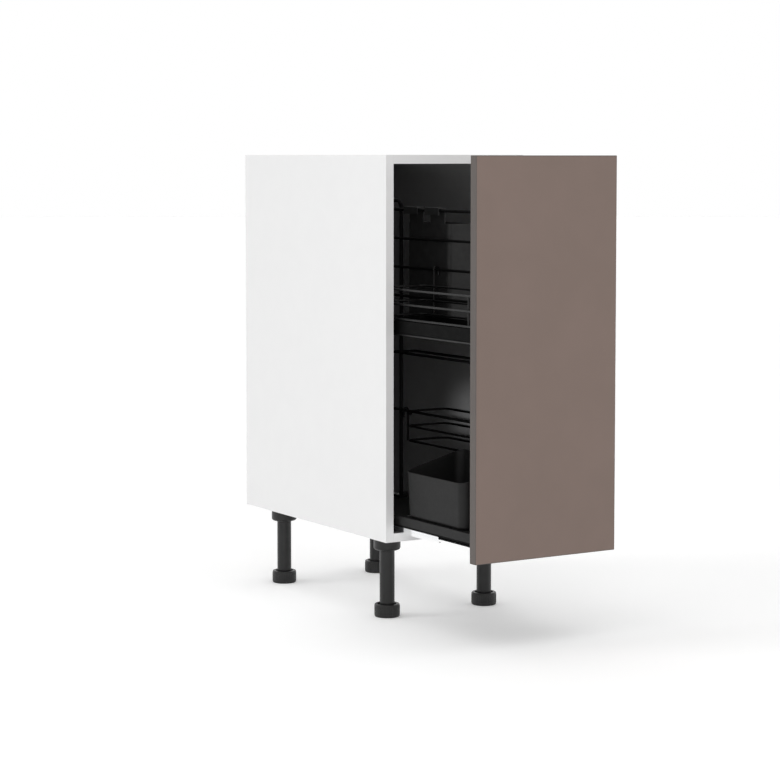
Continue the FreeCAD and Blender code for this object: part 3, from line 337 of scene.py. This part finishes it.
# %% Moulded plastic
LEG_TONES = ((0.006, 0.006, 0.006), (0.009, 0.009, 0.009))
BOX_TONES = ((0.008, 0.008, 0.008), (0.010, 0.010, 0.010))
TRAY_TONES = ((0.003, 0.003, 0.003), (0.005, 0.005, 0.005))
POCKET_TONES = ((0.023, 0.023, 0.023), (0.030, 0.030, 0.030))
GRAIN_SIZE = 0.9 * MM
GRAIN_DEPTH = 0.03 * MM
PLASTIC_DRIFT_SIZE = 18 * MM
PLASTIC_GLOSS_SIZE = 7 * MM
PLASTIC_GLOSS_DRIFT = (0.05, 0.07)


def moulded(name, tones, roughness, gloss=0.5):
    """Etched plastic; gloss is the shader's specular level."""
    finish, tree, shader = start_finish(name, roughness)
    shader.inputs["Specular IOR Level"].default_value = gloss
    place = place_on_object(tree)
    grain = add_node(tree, "ShaderNodeTexVoronoi", {"Scale": 1.0 / GRAIN_SIZE})
    tree.links.new(place, grain.inputs["Vector"])
    drift = noise(tree, place, PLASTIC_DRIFT_SIZE)
    tree.links.new(tone(tree, drift, *tones), shader.inputs["Base Color"])
    drift_roughness(tree, shader, noise(tree, place, PLASTIC_GLOSS_SIZE),
                    roughness - PLASTIC_GLOSS_DRIFT[0], roughness + PLASTIC_GLOSS_DRIFT[1])
    relief(tree, shader, grain.outputs["Distance"], GRAIN_DEPTH, strength=0.35)
    return finish


corners = [f"{row}_{side}" for row in ("front", "rear") for side in ("left", "right")]
leg_plastic = moulded("leg_plastic", LEG_TONES, 0.3, 0.4)
dress(leg_plastic, *[f"leg_{piece}_{corner}" for piece in ("socket", "tube", "foot") for corner in corners])
dress(moulded("clip_plastic", COAT_BLACK, 0.5), "door_clip_upper", "door_clip_lower")
dress(moulded("tray_plastic", TRAY_TONES, 0.6, 0.05), "caddy_tray")
dress(moulded("box_plastic", BOX_TONES, 0.55, 0.25), "storage_box")
dress(moulded("pocket_plastic", POCKET_TONES, 0.55, 0.25), "hanging_pocket")

# %% [markdown]
# Screws, cam bolts and cam locks are zinc plated. The runners are rolled steel with a bright plating,
# smooth enough to mirror the white room, which makes the middle members look white beside the dark base.
# Rolling leaves streaks along the length, so their noise is stretched along Y.
# The dowels are beech, whose grain runs along X, from the side panel into the board.

# %% Metal and dowels
ZINC = ((0.52, 0.53, 0.54), (0.66, 0.66, 0.65))
BRIGHT_PLATE = ((0.86, 0.87, 0.88), (0.92, 0.92, 0.92))
BEECH = ((0.46, 0.30, 0.17), (0.66, 0.48, 0.30))
PLATE_DRIFT_SIZE = 6 * MM
STREAK_SIZE = 0.8 * MM
STREAK_DEPTH = 0.01 * MM
STREAK_GLOSS = (0.75, 1.3)
ROLLED_ALONG_Y = (1.0, 0.04, 1.0)
GRAIN_ALONG_X = (0.08, 1.0, 1.0)
FIBRE_SIZE = 0.8 * MM
FIBRE_DEPTH = 0.05 * MM


def plated(name, tones, roughness, stretch=(1.0, 1.0, 1.0)):
    """Plated steel with fine streaks."""
    finish, tree, shader = start_finish(name, roughness, metallic=1.0)
    place = place_on_object(tree, stretch)
    streaks = noise(tree, place, STREAK_SIZE)
    drift = noise(tree, place, PLATE_DRIFT_SIZE)
    tree.links.new(tone(tree, drift, *tones), shader.inputs["Base Color"])
    drift_roughness(tree, shader, streaks, STREAK_GLOSS[0] * roughness, STREAK_GLOSS[1] * roughness)
    relief(tree, shader, streaks, STREAK_DEPTH, strength=0.2)
    return finish


def beech(name):
    """Raw beech with a fine grain along the dowel."""
    finish, tree, shader = start_finish(name, roughness=0.7)
    grain = noise(tree, place_on_object(tree, GRAIN_ALONG_X), FIBRE_SIZE, detail=4.0)
    tree.links.new(tone(tree, grain, *BEECH), shader.inputs["Base Color"])
    relief(tree, shader, grain, FIBRE_DEPTH, strength=0.4)
    return finish


dress(plated("zinc_plate", ZINC, 0.34), "cam_bolts", "cam_locks", "runner_rail_screws",
      "runner_drawer_screws", "foot_plate_screws", "door_angle_screws", "door_clip_screws")
dress(plated("bright_steel", BRIGHT_PLATE, 0.12, ROLLED_ALONG_Y), "runner_rail_left",
      "runner_rail_right", "runner_middle_left", "runner_middle_right")
dress(beech("beech_dowel"), "carcass_dowels")

# %% [markdown]
# Small made details ride on the same bodies as the pieces that carry them, so they move with them.
# bmesh builds a whole group of details in one mesh. One helper turns such a group into an object,
# gives it a finish, names its material slot and lets it ride.

# %% A helper for small details
def new_piece(name, mesh_maker, finish, body):
    """A bmesh piece in the frame's coordinates that rides on a body."""
    mesh = bpy.data.meshes.new(name)
    made = bmesh.new()
    mesh_maker(made)
    bmesh.ops.recalc_face_normals(made, faces=made.faces)
    made.to_mesh(mesh)
    made.free()
    mesh.materials.append(finish)
    piece = bpy.data.objects.new(name, mesh)
    bpy.context.collection.objects.link(piece)
    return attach(piece, body)


# %% [markdown]
# The screw feet have a ring of fine grip ribs, so that fingers can turn them.
# A bump could fake the ribs, but real ones catch the light on the outline of the foot too.
# Each rib is a slim upright bar with a rounded back and sloping ends.

# %% Grip ribs on the feet
RIB_COUNT = 44
RIB_WIDTH = 1.5 * MM
RIB_PROUD = 0.3 * MM
RIB_ENDS = 3.0 * MM
RIB_SHOULDER_SHARE = 0.6
RIB_TIP_SHARE = 0.3
FOOT_RIM = 24.0 * MM


def add_rib(made, foot_axis, radius, angle):
    """One rib: a half-round section swept up, closed by sloping ends."""
    turn = Matrix.Translation(foot_axis) @ Matrix.Rotation(angle, 4, "Z")
    shoulder = RIB_SHOULDER_SHARE * RIB_PROUD
    section = [(-RIB_PROUD, -RIB_WIDTH / 2), (shoulder, -RIB_WIDTH / 4), (RIB_PROUD, 0.0),
               (shoulder, RIB_WIDTH / 4), (-RIB_PROUD, RIB_WIDTH / 2)]
    low, high = RIB_ENDS, FOOT_RIM - RIB_ENDS
    rings = []
    for z, share in ((low, RIB_TIP_SHARE), (low + RIB_ENDS / 2, 1.0),
                     (high - RIB_ENDS / 2, 1.0), (high, RIB_TIP_SHARE)):
        rings.append([made.verts.new(turn @ Vector((radius + out * share, across * share, z)))
                      for out, across in section])
    for below, above in zip(rings, rings[1:]):
        for i in range(len(section)):
            j = (i + 1) % len(section)
            made.faces.new((below[i], below[j], above[j], above[i]))
    made.faces.new(rings[0])
    made.faces.new(rings[-1])


for corner in corners:
    foot_low, foot_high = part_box(f"leg_foot_{corner}")
    axis = Vector(((foot_low.x + foot_high.x) / 2, (foot_low.y + foot_high.y) / 2, 0.0))
    rim_radius = (foot_high.x - foot_low.x) / 2

    def ribs(made, axis=axis, rim_radius=rim_radius):
        for i in range(RIB_COUNT):
            add_rib(made, axis, rim_radius, i * math.tau / RIB_COUNT)
    new_piece(f"foot_ribs_{corner}", ribs, leg_plastic, f"foot_{corner}")
print("grip ribs:", RIB_COUNT, "on each of", len(corners), "feet")

# %% [markdown]
# The screws of one kind are one CAD node with several loose solids, and so are the rings and posts of wire.
# To place a detail on each, the code walks over the mesh from vertex to vertex,
# collects each loose solid, and reads its place from its box.

# %% Find the loose solids of a node
SAME_POINT = 0.01 * MM


def loose_solids(node_name):
    """Boxes of the separate solids in one node's mesh."""
    made = bmesh.new()
    made.from_mesh(frame["nodes"][node_name].data)
    bmesh.ops.remove_doubles(made, verts=made.verts, dist=SAME_POINT)
    left, boxes = set(made.verts), []
    while left:
        border, found = [left.pop()], []
        while border:
            vert = border.pop()
            found.append(vert.co.copy())
            for edge in vert.link_edges:
                other = edge.other_vert(vert)
                if other in left:
                    left.discard(other)
                    border.append(other)
        boxes.append((Vector(map(min, *found)), Vector(map(max, *found))))
    made.free()
    return boxes


print("loose screws in the door angles:", len(loose_solids("door_angle_screws")))

# %% [markdown]
# Each screw has a cross recess. A true recess would need a cut in the CAD solid.
# A dark cross that stands a hair above the head is far cheaper. Its dark colour is painted shade, standing
# in for the shade inside the recess, so it reads as a hole.

# %% Painted shade of the cross recesses in the screws
RECESS_SPAN = 3.6 * MM
RECESS_BAR = 0.9 * MM
RECESS_LIFT = 0.06 * MM
# Painted shade: the dark tones of the crosses stand in for the shade inside each recess.
RECESS_SHADE_TONES = ((0.05, 0.05, 0.05), (0.08, 0.08, 0.08))
SQUARE = ((-1, -1), (1, -1), (1, 1), (-1, 1))
recess_shadow = plated("recess_shadow", RECESS_SHADE_TONES, 0.6)


def add_cross(made, centre, out):
    """Two crossed bars of painted recess shade on a screw head that faces up or to the rear."""
    across = Vector((1, 0, 0))
    along = out.cross(across)
    for a, b in ((across, along), (along, across)):
        outline = [centre + out * RECESS_LIFT + a * sa * RECESS_SPAN / 2 + b * sb * RECESS_BAR / 2
                   for sa, sb in SQUARE]
        top = [made.verts.new(p) for p in outline]
        base = [made.verts.new(p - out * 2 * RECESS_LIFT) for p in outline]
        made.faces.new(top)
        made.faces.new(base)
        for i in range(len(outline)):
            j = (i + 1) % len(outline)
            made.faces.new((base[i], base[j], top[j], top[i]))


def screw_heads(node_name):
    """Centre of each head and the way it faces: a screw is longest along its own axis."""
    heads = []
    for low, high in loose_solids(node_name):
        middle, size = (low + high) / 2, high - low
        if size.z > size.y:
            heads.append((Vector((middle.x, middle.y, high.z)), Vector((0, 0, 1))))
        else:
            heads.append((Vector((middle.x, high.y, middle.z)), Vector((0, 1, 0))))
    return heads


for screw_node in ("foot_plate_screws", "door_angle_screws", "door_clip_screws"):
    def crosses(made, heads=screw_heads(screw_node)):
        for centre, out in heads:
            add_cross(made, centre, out)
    # Each piece is painted shade: dark crosses in place of the shade inside the recesses.
    new_piece(f"{screw_node}_recess", crosses, recess_shadow, "pull_out")
    print(screw_node, "recesses:", len(screw_heads(screw_node)))

# %% [markdown]
# Where two wires cross, they are welded: the wires melt together in a small flat bead.
# Without the beads the wires only touch along a line, and look laid on each other.
# Each bead is a ball with few faces, squashed between the two wires and shaded smooth.

# %% Weld beads on the frame
FRAME_BEAD = (1.4 * MM, 2.6 * MM, 2.6 * MM)
front_low, front_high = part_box("front_hoop")
rear_low, rear_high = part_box("rear_hoop")
half_frame_wire = (front_high.x - front_low.x) / 2


def add_bead(made, centre, radii):
    """A squashed ball."""
    ball = bmesh.ops.create_icosphere(made, subdivisions=2, radius=1.0)
    size = Matrix.Diagonal((*radii, 1.0))
    bmesh.ops.transform(made, matrix=Matrix.Translation(centre) @ size, verts=ball["verts"])
    for face in {f for v in ball["verts"] for f in v.link_faces}:
        face.smooth = True


def beads(points, radii):
    """A mesh maker that sets a bead at each point."""
    def build(made):
        for point in points:
            add_bead(made, point, radii)
    return build


leg_lines = [low.y + half_frame_wire for low in (front_low, rear_low)]
leg_lines += [high.y - half_frame_wire for high in (front_high, rear_high)]
rails = [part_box("frame_top_rail")] + loose_solids("frame_rungs")
frame_welds = [Vector((front_low.x, leg_y, (low.z + high.z) / 2))
               for low, high in rails for leg_y in leg_lines]
new_piece("frame_weld_beads", beads(frame_welds, FRAME_BEAD), matte_black, "pull_out")
print("weld beads on the frame:", len(frame_welds))

# %% [markdown]
# The rings of the caddy and of the bottle rail are welded to their posts and hangers in the same way.
# A post stands beside a ring's long wire or outside one of its round corners, so the weld lies halfway
# between the two centre lines, at each ring that the post passes.

# %% Weld beads on the wire goods
RING_BEAD = (1.0 * MM, 1.7 * MM, 1.7 * MM)
RING_CORNER = 12.0 * MM


def on_ring(point, low, high):
    """Nearest place on a ring's centre line, whose corners are round, to a point beside it."""
    centre = Vector((min(max(point.x, low.x + RING_CORNER), high.x - RING_CORNER),
                     min(max(point.y, low.y + RING_CORNER), high.y - RING_CORNER), point.z))
    return centre + (point - centre).normalized() * RING_CORNER


def ring_welds(post_node, ring_node):
    """Points halfway between the posts and the wire of each ring they pass."""
    points = []
    for post_low, post_high in loose_solids(post_node):
        post_x = post_low.x if post_node == "caddy_hangers" else (post_low.x + post_high.x) / 2
        for ring_low, ring_high in loose_solids(ring_node):
            level = (ring_low.z + ring_high.z) / 2
            half_wire = (ring_high.z - ring_low.z) / 2
            if post_low.z - half_wire <= level <= post_high.z + half_wire:
                inset = Vector((half_wire, half_wire, 0))
                post = Vector((post_x, (post_low.y + post_high.y) / 2, level))
                points.append((post + on_ring(post, ring_low + inset, ring_high - inset)) / 2)
    return points


caddy_welds = ring_welds("caddy_posts", "caddy_rings") + ring_welds("caddy_hangers", "caddy_rings")
bottle_welds = ring_welds("bottle_posts", "bottle_rings")
new_piece("caddy_weld_beads", beads(caddy_welds, RING_BEAD), satin_black, "caddy")
new_piece("bottle_weld_beads", beads(bottle_welds, RING_BEAD), matte_black, "pull_out")
print("weld beads on the caddy:", len(caddy_welds), "and on the bottle rail:", len(bottle_welds))

# %% [markdown]
# A wire that ends in the open is never left as a sharp cut: its tip is rounded off.
# The hook tips of the caddy and of the bottle rail each get a dome:
# a ball as wide as the wire, set over the cut end.

# %% Rounded wire tips
ring_low, ring_high = loose_solids("caddy_rings")[0]
wire_radius = (ring_high.z - ring_low.z) / 2


def hook_tips(node_name, side):
    """Lowest point of each hook's free end; side is where it hangs, 1 right of the rung or -1 left."""
    tips = []
    for low, high in loose_solids(node_name):
        outer_x = high.x if side > 0 else low.x
        free_end = [v.co.z for v in frame["nodes"][node_name].data.vertices
                    if low.y <= v.co.y <= high.y and abs(v.co.x - outer_x) < 2 * wire_radius]
        tips.append(Vector((outer_x - side * wire_radius, (low.y + high.y) / 2, min(free_end))))
    return tips


dome = (wire_radius, wire_radius, wire_radius)
caddy_tips, bottle_tips = hook_tips("caddy_hangers", 1), hook_tips("bottle_arms", -1)
new_piece("caddy_hook_tips", beads(caddy_tips, dome), satin_black, "caddy")
new_piece("bottle_hook_tips", beads(bottle_tips, dome), matte_black, "pull_out")
print("hook tips in mm:", [tuple(round(c / MM, 1) for c in tip) for tip in caddy_tips + bottle_tips])

# %% [markdown]
# The stage is a plain pale floor in a white room. The floor is a large sheet with a faint drift of tone.
# It glows a little by itself, so that it runs into the white wall without a line,
# and its shadows stay pale.
# The room's wall is a wide white ring, far out. It is there for the camera and for reflections only,
# so that it can be bright white without flooding the cabinet with light.

# %% Floor and wall
FLOOR_HALF = 30.0
FLOOR_TONES = ((0.94, 0.94, 0.94), (0.96, 0.96, 0.96))
FLOOR_DRIFT_SIZE = 0.6
FLOOR_GLOW = 0.17
WALL_RADIUS = 28.0
WALL_HEIGHT = 18.0
WALL_SIDES = 96


def pale_floor(name):
    """Matte white sheet with a faint glow."""
    finish, tree, shader = start_finish(name, roughness=0.9)
    drift = noise(tree, place_on_object(tree), FLOOR_DRIFT_SIZE)
    tree.links.new(tone(tree, drift, *FLOOR_TONES), shader.inputs["Base Color"])
    shader.inputs["Specular IOR Level"].default_value = 0.1
    shader.inputs["Emission Color"].default_value = (1.0, 1.0, 1.0, 1.0)
    shader.inputs["Emission Strength"].default_value = FLOOR_GLOW
    return finish


def white_glow(name):
    """A wall that shines evenly."""
    finish, tree, shader = start_finish(name, roughness=1.0)
    shader.inputs["Base Color"].default_value = (0.0, 0.0, 0.0, 1.0)
    shader.inputs["Specular IOR Level"].default_value = 0.0
    shader.inputs["Emission Color"].default_value = (1.0, 1.0, 1.0, 1.0)
    shader.inputs["Emission Strength"].default_value = 1.0
    return finish


def stage_piece(name, points, faces, finish):
    """A sheet of the stage, which isn't part of the cabinet."""
    mesh = bpy.data.meshes.new(name)
    mesh.from_pydata(points, [], faces)
    mesh.materials.append(finish)
    sheet = bpy.data.objects.new(name, mesh)
    bpy.context.collection.objects.link(sheet)
    return sheet


floor_points = [(FLOOR_HALF * x, FLOOR_HALF * y, 0.0) for x, y in SQUARE]
stage_piece("studio_floor", floor_points, [(0, 1, 2, 3)], pale_floor("pale_floor"))
turns = [i * math.tau / WALL_SIDES for i in range(WALL_SIDES)]
wall_points = [(WALL_RADIUS * math.cos(a), WALL_RADIUS * math.sin(a), z)
               for z in (0.0, WALL_HEIGHT) for a in turns]
wall_faces = [(i, (i + 1) % WALL_SIDES, WALL_SIDES + (i + 1) % WALL_SIDES, WALL_SIDES + i)
              for i in range(WALL_SIDES)]
wall = stage_piece("studio_wall", wall_points, wall_faces, white_glow("white_glow"))
wall.visible_diffuse = False
wall.visible_shadow = False
print("floor", 2 * FLOOR_HALF, "m wide, wall", WALL_HEIGHT, "m high")

# %% [markdown]
# The light is plain and soft. A white world fills the shadows, and the pale floor lights from below.
# A soft key comes from the left and behind, which makes the left panel the brightest face
# and keeps the front edges greyer. A panel at the front left reaches the dark inside through the gap,
# and a soft light from straight above leaves the shadow between the legs.
# A narrow light through the same gap leaves a soft patch on the inner right wall beside the door.
# Light linking lets it reach that board alone, so that it doesn't show on the door when this is shut.
# Photographers keep light out of a place with a black card, called a flag. One closes the open top here,
# between the two rails, and the camera doesn't see it.

# %% World and lights
WORLD_STRENGTH = 0.5
SUN_DISTANCE = 4
KEY_FROM = Vector((-0.783, 0.332, 0.526))
KEY_STRENGTH = 0.5
KEY_SOFTNESS = math.radians(24)
OVERHEAD_STRENGTH = 0.9
OVERHEAD_SOFTNESS = math.radians(60)
PANEL_PLACE = Vector((-1.45, -2.8, 1.2))
PANEL_TARGET = Vector((0, -0.2, 0.5))
PANEL_POWER = 14.0
PANEL_SIZE = 1.4
PATCH_TARGET = Vector((0.134, 0.022, 0.358))
PATCH_FROM = Vector((-0.284, -0.26, 0.05))
PATCH_DISTANCE = 5
PATCH_POWER = 60.0
PATCH_CONE = math.radians(3.9)
PATCH_RADIUS = 0.03

scene = bpy.context.scene
scene.view_settings.view_transform = "Standard"
world = bpy.data.worlds.new("soft_fill")
world.use_nodes = True
world.node_tree.nodes["Background"].inputs["Color"].default_value = (1.0, 1.0, 1.0, 1.0)
world.node_tree.nodes["Background"].inputs["Strength"].default_value = WORLD_STRENGTH
scene.world = world


def add_light(name, kind, place, target, **settings):
    """A light that looks from a place to a target."""
    lamp = bpy.data.lights.new(name, kind)
    for setting, value in settings.items():
        setattr(lamp, setting, value)
    holder = bpy.data.objects.new(name, lamp)
    holder.location = place
    holder.rotation_euler = (Vector(target) - Vector(place)).to_track_quat("-Z", "Y").to_euler()
    bpy.context.collection.objects.link(holder)
    return holder


add_light("key", "SUN", SUN_DISTANCE * KEY_FROM, (0, 0, 0), energy=KEY_STRENGTH, angle=KEY_SOFTNESS)
add_light("front_panel", "AREA", PANEL_PLACE, PANEL_TARGET, energy=PANEL_POWER,
          shape="DISK", size=PANEL_SIZE)
patch = add_light("patch", "SPOT", PATCH_TARGET + PATCH_DISTANCE * PATCH_FROM, PATCH_TARGET,
                  energy=PATCH_POWER, spot_size=PATCH_CONE, spot_blend=1.0, shadow_soft_size=PATCH_RADIUS)
lit_wall = bpy.data.collections.new("lit_wall")
lit_wall.objects.link(frame["nodes"]["right_side_panel"])
patch.light_linking.receiver_collection = lit_wall
add_light("overhead", "SUN", (0, 0, SUN_DISTANCE), (0, 0, 0), energy=OVERHEAD_STRENGTH,
          angle=OVERHEAD_SOFTNESS)
front_rail, rear_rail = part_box("front_top_rail"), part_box("rear_top_rail")
flag_points = [(x, y, front_rail[0].z) for x, y in (
    (left_inner[1], front_rail[1].y), (right_inner[1], front_rail[1].y),
    (right_inner[1], rear_rail[0].y), (left_inner[1], rear_rail[0].y))]
flag = stage_piece("top_flag", flag_points, [(0, 1, 2, 3)], matte_black)
flag.visible_camera = False
flag.visible_glossy = False
print("world", WORLD_STRENGTH, "key", KEY_STRENGTH, "panel", PANEL_POWER, "W")

# %% [markdown]
# The photograph was taken from the left of the door, at the height of the carcass's top, with a long lens.
# The place, the turn, the tilt and the lens were fitted to the corners of the carcass and the door.
# The camera looks down a little and the lens shifts a little, as the photograph's upright edges need.

# %% Camera
CAMERA_PLACE = Vector((-2.25812, -3.57557, 0.85123))
CAMERA_TURN = math.radians(31.524)
CAMERA_TILT = math.radians(3.963)
CAMERA_LENS = 103.644
CAMERA_SHIFT = -0.1
SENSOR = 36.0

lens = bpy.data.cameras.new("photo_camera")
lens.sensor_width = SENSOR
lens.lens = CAMERA_LENS
lens.shift_y = CAMERA_SHIFT
camera = bpy.data.objects.new("photo_camera", lens)
camera.location = CAMERA_PLACE
level = Vector((math.sin(CAMERA_TURN), math.cos(CAMERA_TURN), 0.0))
looking = level * math.cos(CAMERA_TILT) - Vector((0, 0, math.sin(CAMERA_TILT)))
camera.rotation_euler = looking.to_track_quat("-Z", "Y").to_euler()
bpy.context.collection.objects.link(camera)
scene.camera = camera
print("camera", round(CAMERA_PLACE.length, 2), "m from the origin")
